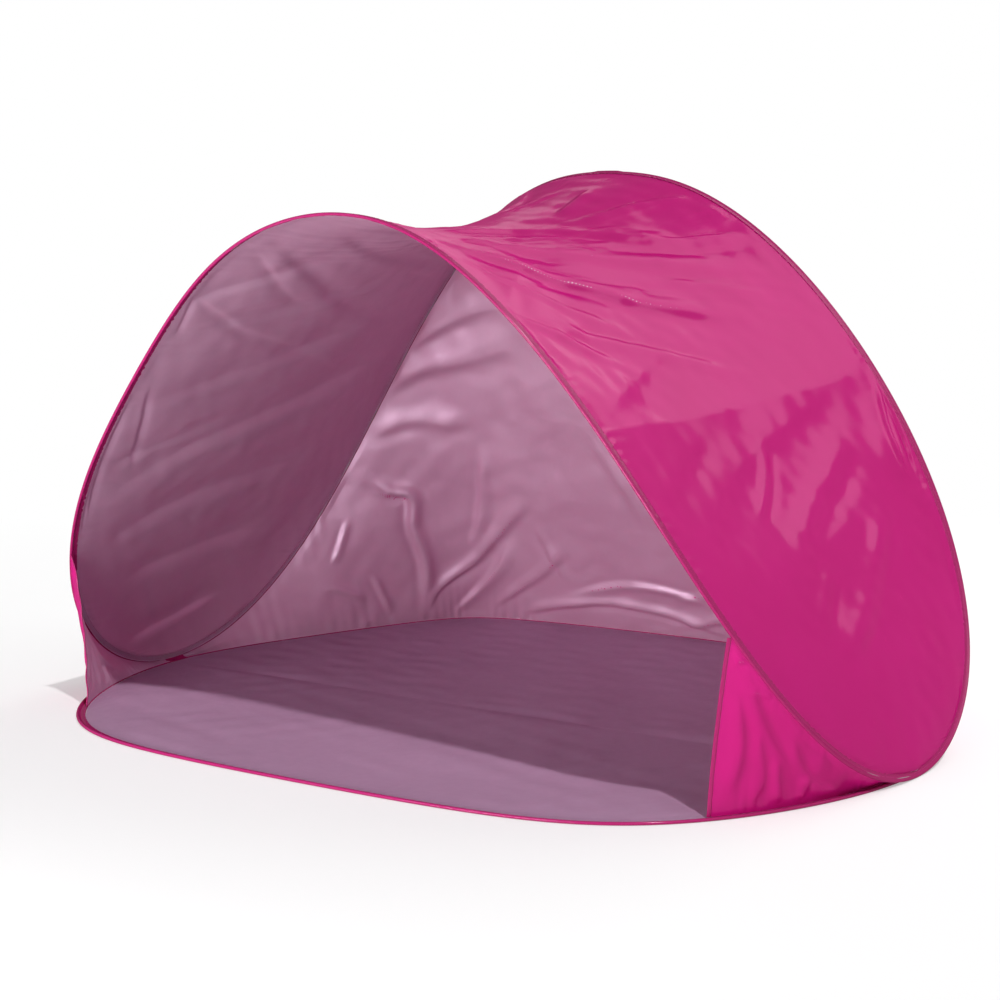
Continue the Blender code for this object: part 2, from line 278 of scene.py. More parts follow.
def sagged(edges, shares, ways, sag_share, inside):
    """Points between two edges, bowed by a share of the way between them, and the outward direction."""
    one, two = edges(shares)
    step = 1 / curve_samples
    ahead, behind = sum(edges(shares + step)), sum(edges(shares - step))
    outward = unit(np.cross(two - one, ahead - behind))
    outward *= np.sign((outward * ((one + two) / 2 - np.array(inside))).sum(-1, keepdims=True))
    length = np.linalg.norm(two - one, axis=-1, keepdims=True)
    ways = ways[..., None]
    bow = 4 * ways * (1 - ways) * sag_share * length
    return one * (1 - ways) + two * ways - bow * outward, outward, length[..., 0]


def canopy_at(shares, ways):
    inside = (0, fold_depth, rear_arch_height / 3)
    near = np.minimum(shares, 1 - shares)
    # The lobes bow out by about 20 mm, so that the floor's front half has room to fold up between them
    slack = smooth((near - taut_lobe_share) / (slack_share - taut_lobe_share))
    sag = lobe_sag_share + (canopy_sag_share - lobe_sag_share) * slack
    points, outward, length = sagged(canopy_edges, shares, ways, sag[..., None], inside)
    ridge = np.exp(-(((near - shoulder_share) / shoulder_spread_share) ** 2)) * np.sin(pi * ways)
    return points + outward * (shoulder_height * ridge)[..., None], outward, length


def above_ring(turns):
    places = ground_hoop.at(turns) + ground_band(turns) * seat_reach
    places[..., 2] = 2 * tail_half_thickness + cloth_thickness
    return places


def below_hoop(turns, feet):
    places = canopy_hoop.at(turns)
    clear = nose_at(swelling(canopy_hoop, turns))
    way = across(feet - places, canopy_hoop.tangent(turns))
    return places + way * (clear - nose_overlap)[..., None]


def wall_edges(shares):
    feet = above_ring(ground_fold_turn * (1 - 2 * shares))
    return below_hoop(rear_turn(shares), feet), feet


def wall_at(shares, ways):
    return sagged(wall_edges, shares, ways, wall_sag_share, (0, fold_depth, rear_arch_height / 2))


def gusset_edges(shares):
    top_share = (gusset_top_turn - lobe_turn) / (1 - 2 * lobe_turn)
    feet = above_ring(ground_fold_turn + (gusset_foot_turn - ground_fold_turn) * shares)
    return below_hoop(front_turn(shares * top_share), feet), feet


def gusset_at(shares, ways):
    return sagged(gusset_edges, shares, ways, gusset_sag_share, (0, fold_depth, front_arch_height / 2))


# Folds, creases and puckers


def curve_through(points, count=24):
    """A smooth row of points through a few, by Catmull-Rom."""
    points = np.array(points, dtype=float)
    padded = np.vstack([2 * points[0] - points[1], points, 2 * points[-1] - points[-2]])
    places = np.linspace(0, len(points) - 1, count)
    k = np.minimum(places.astype(int), len(points) - 2)
    t = (places - k)[:, None]
    a, b, c, d = padded[k], padded[k + 1], padded[k + 2], padded[k + 3]
    return (2 * b + (c - a) * t + (2 * a - 5 * b + 4 * c - d) * t**2 + (3 * b - a - 3 * c + d) * t**3) / 2


def fold(surface, points, normals, path, height, width, widen, lean):
    """Height of one fold at each point: a ridge along a path, leaning to one side into a pleat."""
    shares, ways = curve_through(path).T
    line = surface(shares, np.clip(ways, 0, 1))[0]
    gone = way_along(line)
    margin = fold_margin * width * max(widen, 1)
    low, high = line.min(0) - margin, line.max(0) + margin
    made = np.zeros(points.shape[:-1])
    inside = ((points > low) & (points < high)).all(-1)
    near, facing = points[inside], normals[inside]
    best = np.full(len(near), np.inf)
    signed = np.zeros(len(near))
    travelled = np.zeros(len(near))
    for k in range(len(line) - 1):
        along = line[k + 1] - line[k]
        part = np.clip(((near - line[k]) @ along) / (along @ along), 0, 1)
        off = near - line[k] - part[:, None] * along
        distance = np.linalg.norm(off, axis=1)
        closer = distance < best
        best[closer] = distance[closer]
        side = np.sign((np.cross(along, facing) * off).sum(-1))
        signed[closer] = (distance * side)[closer]
        travelled[closer] = (gone[k] + part * (gone[k + 1] - gone[k]))[closer]
    way = travelled / gone[-1]
    spread = width * (1 + (widen - 1) * way)
    x = signed / spread
    ends = smooth(way / fold_end_share) * smooth((1 - way) / fold_end_share)
    made[inside] = height * ends * (np.exp(-np.abs(x) ** crest_power) + lean * x * np.exp(-(x**2) / 2))
    return made


def ripples(points, length, count):
    """Smooth random waves about a length, of mean square one."""
    ways = unit(random.normal(size=(count, 3)))
    lengths = length * random.uniform(0.7, 1.4, count)
    phases = random.uniform(0, 2 * pi, count)
    waves = np.cos(points @ (ways / lengths[:, None]).T * 2 * pi + phases)
    return waves.sum(-1) * (2 / count) ** 0.5


def puckers(runs, distances, pitch, reach, count=7):
    """Small gathers along a seam, dying out over their reach. runs is the way along the seam."""
    pitches = pitch * random.uniform(0.6, 1.7, count)
    phases = random.uniform(0, 2 * pi, count)
    waves = sum(np.cos(runs / p * 2 * pi + q) for p, q in zip(pitches, phases)) * (2 / count) ** 0.5
    slow = 0.55 + 0.45 * np.cos(runs / (pitch * 9) * 2 * pi + phases[0])
    return waves * slow * np.exp(-distances / reach)


def creased(values):
    """Waves of mean zero with sharp crests."""
    return 0.64 - np.abs(np.sin(values))


def fan(shares, ways, low, high, layers, lines):
    """Fine sharp creases that spread from one edge to the other. low and high are the two shares of the
    fan's outer lines at each edge. Each layer has about so many lines and comes and goes along them."""
    first = low[0] + (low[1] - low[0]) * ways
    last = high[0] + (high[1] - high[0]) * ways
    place = (shares - first) / (last - first)
    made = np.zeros(shares.shape)
    for _ in range(layers):
        drift = 0.5 * np.sin(2 * pi * (ways * random.uniform(0.4, 1.1) + random.uniform(0, 1)))
        count = lines * random.uniform(0.6, 1.5)
        patches = place * random.uniform(1, 3) + ways * 0.6 + random.uniform(0, 1)
        reach = smooth(0.5 + 0.9 * np.sin(2 * pi * patches))
        made += reach * creased(pi * (place * count + random.uniform(0, 1)) + drift)
    fade = smooth(place / fan_fade_share) * smooth((1 - place) / fan_fade_share)
    return made * fade / layers**0.5


# Meshes


def faces_against(points, face, way):
    """Whether a face of four corners is turned against a given way."""
    p = points[face]
    return np.dot(np.cross(p[1] - p[0], p[3] - p[0]), way) < 0


def grid_normals(grid, outward):
    normals = unit(np.cross(np.gradient(grid, axis=0), np.gradient(grid, axis=1)))
    return normals * np.sign((normals * outward).sum(-1, keepdims=True))


def new_object(name, points, faces, looks, kinds=None, smooth_shade=True):
    mesh = bpy.data.meshes.new(name)
    mesh.from_pydata([tuple(p) for p in points], [], faces)
    for look in looks:
        mesh.materials.append(look)
    if kinds is not None:
        mesh.polygons.foreach_set("material_index", np.asarray(kinds, dtype=np.int32))
    mesh.validate()
    if smooth_shade:
        mesh.shade_smooth()
        mesh.set_sharp_from_angle(angle=radians(50))
    made = bpy.data.objects.new(name, mesh)
    bpy.context.scene.collection.objects.link(made)
    return made


def cloth(name, grid, normals, lengths, looks):
    """Cloth shell round a grid: outer face, inner face and the cut edge, with a UV map in metres."""
    rows, columns = grid.shape[:2]
    count = rows * columns
    points = np.vstack([(grid + normals * way * cloth_thickness / 2).reshape(-1, 3) for way in (1, -1)])
    index = np.arange(count).reshape(rows, columns)
    a, b, c, d = index[:-1, :-1], index[:-1, 1:], index[1:, 1:], index[1:, :-1]
    cells = np.stack([a, b, c, d], -1).reshape(-1, 4)
    if faces_against(points, cells[0], normals.reshape(-1, 3)[cells[0][0]]):
        cells = cells[:, ::-1]
    other = cells[:, ::-1] + count
    border = np.concatenate([index[0], index[1:-1, -1], index[-1, ::-1], index[-2:0:-1, 0]])
    after = np.roll(border, -1)
    rim = np.stack([border, border + count, after + count, after], -1)
    if faces_against(points, rim[0], points[border[0]] - grid.reshape(-1, 3).mean(0)):
        rim = rim[:, ::-1]
    faces = np.vstack([cells, other, rim])
    kinds = np.repeat([0, 1, 0], [len(cells), len(other), len(rim)])
    made = new_object(name, points, faces.tolist(), looks, kinds)
    middle = grid[:, columns // 2]
    run = way_along(middle)
    over = np.repeat(run[:, None], columns, axis=1)
    way = np.linspace(-0.5, 0.5, columns)[None] * lengths[:, :1]
    flat = np.stack([over, np.broadcast_to(way, over.shape)], -1).reshape(-1, 2)
    add_uv(made, np.vstack([flat, flat]))
    return made


def add_uv(made, flat):
    layer = made.data.uv_layers.new(name="cloth")
    corners = np.zeros(len(made.data.loops), dtype=np.int32)
    made.data.loops.foreach_get("vertex_index", corners)
    layer.data.foreach_set("uv", flat[corners].astype(np.float32).ravel())


def circle(sides):
    """Cosines and sines of evenly spaced angles."""
    angles = np.linspace(0, 2 * pi, sides, endpoint=False)
    return np.cos(angles), np.sin(angles)


def tube_faces(stations, sides, closed):
    index = np.arange(stations * sides).reshape(stations, sides)
    after = np.roll(index, -1, axis=0) if closed else index[1:]
    index = index if closed else index[:-1]
    faces = np.stack([index, np.roll(index, -1, axis=1), np.roll(after, -1, axis=1), after], -1)
    return faces.reshape(-1, 4)


def hem_outline():
    """The hem's cross-section as reach towards the cloth and height off the middle, with its sides alike."""
    angles = np.radians([180, 150, 122, 96, 70, 48])
    nose = np.stack([np.cos(angles), np.sin(angles)], -1) * nose_radius
    flat = [
        (stitch_rows[0] * 0.8, tail_half_thickness * 1.25),
        (stitch_rows[0], tail_half_thickness * 0.85),
        (stitch_rows[0] * 1.35, tail_half_thickness * 1.05),
        (stitch_rows[1] * 0.86, tail_half_thickness),
        (stitch_rows[1], tail_half_thickness * 0.8),
        (tail_length * 0.94, tail_edge_half_thickness * 1.4),
        (tail_length, tail_edge_half_thickness * 0.7),
    ]
    upper = np.vstack([nose, flat])
    lower = upper[::-1] * (1, -1)
    return np.vstack([upper, lower[:-1]])


def hem_frames(hoop, turns):
    places = hoop.at(turns)
    inward = canopy_band(turns) if hoop is canopy_hoop else ground_band(turns)
    up = unit(np.cross(hoop.tangent(turns), inward))
    up *= np.sign(up[:, 2:] + (up[:, 2:] == 0))
    swell = swelling(hoop, turns)
    if hoop is ground_hoop:
        places[:, 2] = nose_at(swell)
    return places, inward, up, swell


def hem_drop(hoop, swell, reach):
    """How far the tail lies below the wire: on the ground hoop it lies on the ground."""
    if hoop is canopy_hoop:
        return 0
    return (nose_at(swell) - tail_half_thickness) * smooth(reach / stitch_rows[0])


def hem_rings(hoop, turns):
    places, inward, up, swell = hem_frames(hoop, turns)
    outline = hem_outline()
    reach, height = outline[:, 0], outline[:, 1]
    on_nose = smooth(1 - reach / nose_radius)
    grow = swell[:, None] * (swollen_nose_radius - nose_radius) / nose_radius
    reach_all = reach[None] * (1 + grow * on_nose[None])
    height_all = height[None] * (1 + grow * smooth(1.6 - reach / nose_radius)[None])
    drop = np.stack([hem_drop(hoop, swell, r) * np.ones(len(turns)) for r in reach], -1)
    run = way_along(places)
    flutter = puckers(run[:, None], np.zeros((1, 1)), hem_pucker_pitch, 1.0)
    flutter = flutter * smooth(reach / tail_length)[None]
    flutter *= canopy_hem_flutter if hoop is canopy_hoop else ground_hem_flutter
    lift = height_all - drop + flutter
    outer = places[:, None] + inward[:, None] * reach_all[..., None] + up[:, None] * lift[..., None]
    level, rise = circle(bore_sides)
    bores = bore_radius + swell * (swollen_bore_radius - bore_radius)
    ring = inward[:, None] * level[None, :, None] + up[:, None] * rise[None, :, None]
    inner = places[:, None] + ring * bores[:, None, None]
    return outer, inner, run


def end_ring(outer, inner, flip):
    """Triangles that close a hem's cut end between its outline and the bore. Both rows of points start at
    the nose's far side and go the same way round."""
    outline = hem_outline()
    outer_turns = (180 - np.degrees(np.arctan2(outline[:, 1], outline[:, 0]))) % 360
    outer_turns = np.append(outer_turns, [360, np.inf])
    inner_turns = np.append(np.arange(len(inner) + 1) * 360 / len(inner), np.inf)
    outer, inner = np.append(outer, outer[0]).tolist(), np.append(inner, inner[0]).tolist()
    faces = []
    i = j = 0
    while i < len(outer) - 1 or j < len(inner) - 1:
        if outer_turns[i + 1] <= inner_turns[j + 1]:
            faces.append((outer[i], outer[i + 1], inner[j]))
            i += 1
        else:
            faces.append((outer[i], inner[j + 1], inner[j]))
            j += 1
    return [face[::-1] for face in faces] if flip else faces


def hem(name, hoop, turns, closed, look, ends=(), lining=None):
    """Sleeve round the wire with its tail. ends gives the depth at which each cut end stops, and lining is
    the look of the tail's inner side about the lobes and along the rear arch."""
    outer, inner, run = hem_rings(hoop, turns)
    for end, depth in ends:
        outer[end][:, 1] = depth
        inner[end][:, 1] = depth
    stations, sides = outer.shape[:2]
    points = np.vstack([outer.reshape(-1, 3), inner.reshape(-1, 3)])
    faces = tube_faces(stations, sides, closed)
    flip = faces_against(points, faces[0], points[faces[0]].mean(0) - outer[0].mean(0))
    faces = faces[:, ::-1] if flip else faces
    bore = tube_faces(stations, bore_sides, closed) + stations * sides
    if faces_against(points, bore[0], inner[0].mean(0) - points[bore[0]].mean(0)):
        bore = bore[:, ::-1]
    kinds = np.zeros(len(faces) + len(bore), dtype=int)
    if lining is not None:
        station, side = np.divmod(faces.min(1), sides)
        below = hem_outline()[:, 1] < 0
        reach = hem_outline()[:, 0]
        lined = np.abs((turns[station] + 0.5) % 1 - 0.5) < lobe_turn + lining_reach
        kinds[: len(faces)] = lined & below[side] & (reach[side] > nose_radius)
    caps = []
    for end, depth in ends:
        station = end % stations
        first = stations * sides + station * bore_sides
        # The bore's rows start on the tail's side and go up, so half of them turned round meets the outline
        bore_row = first + (bore_sides // 2 - np.arange(bore_sides)) % bore_sides
        caps += end_ring(station * sides + np.arange(sides), bore_row, flip != (end == 0))
    kinds = np.append(kinds, np.zeros(len(caps), dtype=int))
    looks = [look, lining] if lining else [look]
    made = new_object(name, points, faces.tolist() + bore.tolist() + caps, looks, kinds)
    flat = [
        np.stack([np.repeat(run, count), np.tile(np.linspace(0, girth, count), stations)], -1)
        for count, girth in ((sides, hem_girth), (bore_sides, bore_girth))
    ]
    add_uv(made, np.vstack(flat))
    return made


def stitches(name, centres, alongs, ups, look):
    """Rows of short raised threads, each a small closed wedge."""
    half = stitch_length / 2
    side = unit(np.cross(alongs, ups))
    corners = []
    for a, b, c in (
        (-1, -1, 0), (1, -1, 0), (1, 1, 0), (-1, 1, 0),
        (-0.7, -0.5, 1), (0.7, -0.5, 1), (0.7, 0.5, 1), (-0.7, 0.5, 1),
    ):
        base = centres + alongs * a * half + side * b * stitch_half_width
        corners.append(base + ups * (c * stitch_rise - touch_gap / 3))
    points = np.stack(corners, 1).reshape(-1, 3)
    block = np.array(
        [(0, 1, 2, 3), (4, 7, 6, 5), (0, 4, 5, 1), (1, 5, 6, 2), (2, 6, 7, 3), (3, 7, 4, 0)]
    )
    faces = (block[None] + 8 * np.arange(len(centres))[:, None, None]).reshape(-1, 4)
    if faces_against(points, faces[1], ups[0]):
        faces = faces[:, ::-1]
    return new_object(name, points, faces.tolist(), [look], smooth_shade=False)


def hem_stitches(name, hoop, low_turn, high_turn, faces_up, look):
    dense = np.linspace(low_turn, high_turn, stitch_samples)
    run = way_along(hoop.at(dense))
    count = int(run[-1] / stitch_pitch)
    turns = np.interp((np.arange(count) + 0.5) * run[-1] / count, run, dense)
    places, inward, up, swell = hem_frames(hoop, turns)
    along = hoop.tangent(turns)
    centres, ups = [], []
    for reach in stitch_rows:
        for way in faces_up:
            lift = tail_half_thickness * stitch_seat_share * way - hem_drop(hoop, swell, reach)
            centres.append(places + inward * reach + up * (lift * np.ones(count))[:, None])
            ups.append(up * way)
    rows = len(centres)
    return stitches(name, np.vstack(centres), np.vstack([along] * rows), np.vstack(ups), look)


# Materials


class Nodes:
    """A short way to write the nodes of a material or a world."""

    def __init__(self, owner):
        owner.use_nodes = True
        self.material = owner
        self.tree = owner.node_tree
        self.shader = self.tree.nodes.get("Principled BSDF")
        self.output = self.tree.nodes.get("Material Output")

    def add(self, kind, values=None, **settings):
        made = self.tree.nodes.new("ShaderNode" + kind)
        for key, value in settings.items():
            setattr(made, key, value)
        return self.fill(made, values or {})

    def fill(self, made, values):
        """Sets a node's inputs, or links them where the value is another node's output."""
        for key, value in values.items():
            if isinstance(value, bpy.types.NodeSocket):
                self.tree.links.new(value, made.inputs[key])
            else:
                made.inputs[key].default_value = value
        return made

    def cloth_place(self, scale):
        """Place on the cloth in metres, times a scale."""
        uv = self.add("UVMap", uv_map="cloth")
        return self.add("Mapping", {"Vector": uv.outputs[0], "Scale": scale}).outputs[0]

    def noise(self, scale, detail, roughness=0.5):
        values = {"Vector": self.cloth_place(scale), "Scale": 1.0, "Detail": detail, "Roughness": roughness}
        return self.add("TexNoise", values).outputs[0]

    def ramp(self, value, low, high, first, last):
        return self.add(
            "MapRange", {"Value": value, "From Min": low, "From Max": high, "To Min": first, "To Max": last}
        ).outputs[0]

    def math(self, kind, one, two):
        return self.add("Math", {0: one, 1: two}, operation=kind).outputs[0]

    def mix(self, share, one, two):
        return self.add("Mix", {0: share, 6: one, 7: two}, data_type="RGBA").outputs[2]

    def mixed_with(self, share, other):
        """Lets a share of another shader into the surface."""
        both = self.add("MixShader", {0: share, 1: self.shader.outputs[0], 2: other.outputs[0]})
        self.fill(self.output, {"Surface": both.outputs[0]})
        return self.material

    def weave(self, pitch):
        """Height of a plain weave: two rows of threads crossing, in metres of pitch."""
        place = self.cloth_place((1, 1, 1))
        split = self.add("SeparateXYZ", {0: place})
        waves = []
        for k in (0, 1):
            turn = self.math("MULTIPLY", split.outputs[k], 2 * pi / pitch)
            waves.append(self.math("SINE", turn, 0.0))
        return self.math("MULTIPLY", waves[0], waves[1])


def rgb(red, green, blue):
    return (red, green, blue, 1)


thread_pitch = 0.0011
dye_scale, shade_scale, crinkle_scale = (5, 5, 5), (60, 60, 60), (24, 24, 24)
crinkle_height = 0.0002
bump_strength = 0.55
dye_mottle = 0.35
coat_index = 3.5
coat_roughness = 0.16


def woven(name, colour, deep, roughness, gloss=0.10, satin=0.0, coat=0.0, weave_depth=0.00002):
    """Thin woven nylon: threads, a little crinkle and uneven dye. satin is how much of its gloss takes the
    cloth's own colour, and coat is a clear gloss that stays about the same at every angle."""
    n = Nodes(bpy.data.materials.new(name))
    broad = n.noise(dye_scale, detail=3)
    fine = n.noise(shade_scale, detail=4, roughness=0.6)
    share = n.ramp(broad, 0.3, 0.7, 0.0, dye_mottle)
    base = n.mix(share, colour, deep)
    base = n.mix(n.ramp(fine, 0.3, 0.8, 0.0, 0.10), base, deep)
    rough = n.ramp(fine, 0.3, 0.7, roughness - 0.05, roughness + 0.06)
    crinkle = n.math("MULTIPLY", n.noise(crinkle_scale, detail=1), crinkle_height)
    threads = n.math("MULTIPLY", n.weave(thread_pitch), weave_depth)
    height = n.math("ADD", crinkle, threads)
    bump = n.add("Bump", {"Height": height, "Strength": bump_strength, "Distance": 1.0})
    values = {"Base Color": base, "Roughness": rough, "Normal": bump.outputs[0], "Metallic": satin}
    values |= {"Specular IOR Level": gloss, "Coat Weight": coat, "Coat IOR": coat_index}
    n.fill(n.shader, values | {"Coat Roughness": coat_roughness})
    return n


def let_light_through(n):
    """Some of the light behind the cloth comes through it, tinted by its dye."""
    return n.mixed_with(dye_light_share, n.add("BsdfTranslucent", {"Color": dye_light}))


pink = rgb(0.55, 0.007, 0.192)
deep_pink = rgb(0.46, 0.004, 0.142)
lilac = rgb(0.60, 0.445, 0.575)
deep_lilac = rgb(0.53, 0.35, 0.49)
dye_light = rgb(1.0, 0.22, 0.60)
dye_light_share = 0.26
outer_cloth = let_light_through(
    woven("pink_nylon", pink, deep_pink, 0.22, gloss=0.0, satin=0.05, coat=0.06, weave_depth=0.000004)
)
inner_cloth = let_light_through(woven("coated_inside", lilac, deep_lilac, 0.50, gloss=0.05, satin=0.50))
hem_cloth = woven(
    "hem_nylon", rgb(0.33, 0.012, 0.110), rgb(0.27, 0.008, 0.085), 0.35, gloss=0.0, satin=0.05, coat=0.05
).material
floor_cloth = woven("floor_coating", rgb(0.39, 0.235, 0.355), rgb(0.34, 0.20, 0.31), 0.5).material
thread = woven("thread", rgb(0.52, 0.05, 0.23), rgb(0.44, 0.04, 0.18), 0.6, gloss=0.05).material


def steel(name, colour, roughness):
    n = Nodes(bpy.data.materials.new(name))
    place = n.add("TexCoord").outputs["Object"]
    lines = n.add("TexNoise", {"Vector": place, "Scale": 900.0, "Detail": 2.0}).outputs[0]
    base = n.mix(lines, colour, rgb(0.3, 0.3, 0.31))
    rough = n.ramp(lines, 0.3, 0.7, roughness, roughness + 0.15)
    n.fill(n.shader, {"Metallic": 1, "Base Color": base, "Roughness": rough})
    return n.material


spring_steel = steel("spring_steel", rgb(0.42, 0.42, 0.43), 0.32)
ferrule_steel = steel("ferrule_steel", rgb(0.58, 0.58, 0.59), 0.28)
for name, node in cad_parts.items():
    if "wire" in name or "ferrule" in name:
        node.data.materials.clear()
        node.data.materials.append(spring_steel if "wire" in name else ferrule_steel)


def bend_with_base(made):
    """Bakes a side piece's world place into its mesh; the piece is not bent."""
    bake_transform(made)


# Canopy. Each fold has its path as shares over and across, its height and half width in millimetres, how
# much wider it ends than it starts, and how far it leans over

right_folds = (
    ([(0.46, 0.14), (0.415, 0.336), (0.37, 0.6), (0.33, 0.88)], 6, 11.5, 1.7, -0.9),
    ([(0.436, 0.03), (0.379, 0.288), (0.334, 0.512), (0.302, 0.82)], 8, 9.4, 2.2, -0.9),
    ([(0.48, 0.12), (0.448, 0.472), (0.382, 0.736), (0.352, 0.96)], 5.2, 10.1, 1.6, -0.8),
    ([(0.405, 0.03), (0.346, 0.256), (0.322, 0.4)], 3.7, 7.2, 1.6, 0.8),
    ([(0.35, 0), (0.327, 0.128), (0.3, 0.28)], 3.4, 6.5, 1.6, 0.9),
    ([(0.34, 0.1), (0.306, 0.408), (0.276, 0.68)], 3.7, 7.9, 1.8, 0.8),
    ([(0.44, 0.62), (0.417, 0.856), (0.39, 1)], 5.7, 13, 1, 0.7),
    ([(0.463, 0.66), (0.484, 0.9)], 4.6, 11.5, 1, 0.8),
    ([(0.392, 0.57), (0.36, 0.776), (0.338, 0.96)], -6.3, 14.4, 1, 0.3),
    ([(0.382, 0.74), (0.352, 0.99)], -5.5, 10.8, 1, -0.5),
    ([(0.35, 0.62), (0.314, 0.88)], 3.9, 9.4, 1.4, 0.8),
    ([(0.262, 1), (0.238, 0.95), (0.215, 0.94)], 4.6, 5, 1, 0.8),
    ([(0.264, 1), (0.238, 0.985), (0.215, 0.965)], -3.4, 4.3, 1, 0.6),
    ([(0.212, 0.86), (0.165, 0.616), (0.118, 0.3)], 1.6, 19, 1, 4.2),
    ([(0.238, 0.83), (0.215, 0.624), (0.186, 0.38)], 1.5, 19, 1, 3.8),
    ([(0.25, 0.55), (0.226, 0.46), (0.205, 0.34)], 1, 9, 1, 4.0),
    ([(0.18, 0.5), (0.148, 0.32)], 0.8, 12, 1, 4.0),
)
left_folds = (
    ([(0.815, 0.02), (0.773, 0.264), (0.75, 0.512), (0.727, 0.92)], 8.1, 24, 1.2, 0.7),
    ([(0.848, 0.06), (0.808, 0.408), (0.788, 0.8)], 7.4, 24, 1.2, 0.7),
    ([(0.882, 0.12), (0.851, 0.52), (0.838, 0.83)], 6.8, 20.8, 1.2, 0.7),
    ([(0.661, 0), (0.64, 0.08), (0.6, 0.34)], 5.4, 12.8, 1.6, 0.7),
    ([(0.68, 0), (0.669, 0.216), (0.652, 0.6)], 5.7, 14.4, 1.6, 0.7),
    ([(0.74, 0.03), (0.719, 0.264), (0.694, 0.66)], 6.1, 17.6, 1.5, 0.7),
    ([(0.788, 0.02), (0.77, 0.168), (0.747, 0.38)], 4.7, 12.8, 1.5, 0.7),
    ([(0.725, 0.01), (0.772, 0.018), (0.825, 0.03)], 4.6, 5.6, 1, 0.3),
    ([(0.735, 0.004), (0.78, 0.008), (0.835, 0.018)], 4.1, 4.8, 1, -0.3),
    ([(0.72, 0.04), (0.764, 0.088), (0.79, 0.12)], 3.8, 6.4, 1, 0.5),
    ([(0.645, 0.015), (0.685, 0.036)], 2.7, 4.8, 1, 0.4),
    ([(0.938, 0.12), (0.916, 0.528), (0.89, 0.78)], 5.4, 14.4, 1, 0.8),
)


# Waves as height, size and count, fans as height, outer lines, layers and lines, and gathers along the
# seams as height, pitch and reach
canopy_end_share = 0.003
canopy_length = 2.7
canopy_waves = ((0.0011, 0.19, 14), (0.0004, 0.055, 18))
canopy_fans = (
    (0.0022, (0.50, 0.43), (0.385, 0.27), 4, 9),
    (0.0016, (0.63, 0.60), (0.51, 0.52), 3, 8),
    (0.0018, (0.90, 0.88), (0.64, 0.60), 4, 12),
)
canopy_puckers = ((0.0007, 0.016, 0.022),) * 2
canopy_pucker_start = 0.006
crest_height = 0.0080
crest_width_share = 0.022
calm_reach = 0.02
pucker_start = 0.004


def mirrored(folds, share):
    """The same folds on the other side, weaker and a little shifted."""
    made = []
    for path, height, width, widen, lean in folds:
        shift = random.uniform(-0.012, 0.012)
        path = [(1 - a + shift, b) for a, b in path]
        made.append((path, height * share, width, widen, -lean))
    return made


def folded(surface, grid, normals, folds):
    height = np.zeros(grid.shape[:2])
    for path, rise, width, widen, lean in folds:
        height += fold(surface, grid, normals, path, rise / 1000, width / 1000, widen, lean)
    return height


def over_ground_hem(grid):
    """Lifts the cloth by the lobes so that it lies on the ground hem's nose, which it crosses there."""
    turns = np.linspace(ground_fold_turn - 0.06, ground_fold_turn + 0.06, 400)
    wire = ground_hoop.at(np.concatenate([turns, -turns]))[:, :2]
    rows = np.flatnonzero(grid[:, 0, 2] < 0.04)
    off = grid[rows][..., None, :2] - wire
    distance = np.sqrt((off**2).sum(-1).min(-1))
    clear = nose_radius + cloth_thickness
    top = nose_radius + np.sqrt(np.maximum(clear**2 - distance**2, 0))
    near = grid[rows]
    near[..., 2] = np.where(distance < clear, np.maximum(near[..., 2], top), near[..., 2])
    grid[rows] = near


def spread_shares(low, high, count, crowd=0.0):
    """Evenly spaced shares, with rows a little closer together at both ends."""
    t = np.linspace(0, 1, count)
    eased = t - crowd * np.sin(2 * pi * t) / (2 * pi)
    return low + (high - low) * eased


def laid_out(surface, low, high, columns, rows, crowd):
    """Shares over and across on a grid, and the surface's points, outward ways, lengths and normals."""
    shares, ways = spread_shares(low, high, columns), spread_shares(0, 1, rows, crowd)
    u, v = np.meshgrid(shares, ways, indexing="ij")
    grid, outward, length = surface(u, v)
    return u, v, grid, outward, length, grid_normals(grid, outward)


def wavy(height, grid, edge, waves):
    """Adds random waves that start a little off the seams."""
    for rise, size, count in waves:
        height = height + smooth(edge / calm_reach) * rise * ripples(grid, size, count)
    return height


def gathered(height, runs, distances, starts, gathers):
    """Adds gathers along both seams."""
    for distance, (rise, pitch, reach) in zip(distances, gathers):
        height = height + rise * starts * puckers(runs, distance, pitch, reach)
    return height


def make_canopy():
    low, high = canopy_end_share, 1 - canopy_end_share
    u, v, grid, outward, length, normals = laid_out(canopy_at, low, high, canopy_columns, canopy_rows, 0.5)
    height = folded(canopy_at, grid, normals, right_folds + left_folds)
    height += folded(canopy_at, grid, normals, mirrored(right_folds[:11], 0.6))
    height += folded(canopy_at, grid, normals, mirrored(left_folds[:7], 0.35))
    past_seam = np.minimum(v, 1 - v) * length - seam_overlap
    height *= smooth(past_seam / seam_reach)
    near = np.minimum(u, 1 - u)
    crest = np.exp(-np.abs(near - shoulder_share) / crest_width_share) * np.sin(pi * v) ** 0.6
    height += crest_height * crest
    height = wavy(height, grid, past_seam, canopy_waves)
    ends = smooth(v / 0.05) * smooth((1 - v) / 0.12)
    for rise, low, high, layers, lines in canopy_fans:
        height += rise * ends * fan(u, v, low, high, layers, lines)
    starts = smooth(past_seam / canopy_pucker_start)
    height = gathered(height, u * canopy_length, (v * length, (1 - v) * length), starts, canopy_puckers)
    grid = grid + normals * height[..., None]
    made = cloth("canopy_cloth", grid, grid_normals(grid, outward), length, [outer_cloth, inner_cloth])
    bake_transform(made)
    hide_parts("canopy")
    return made


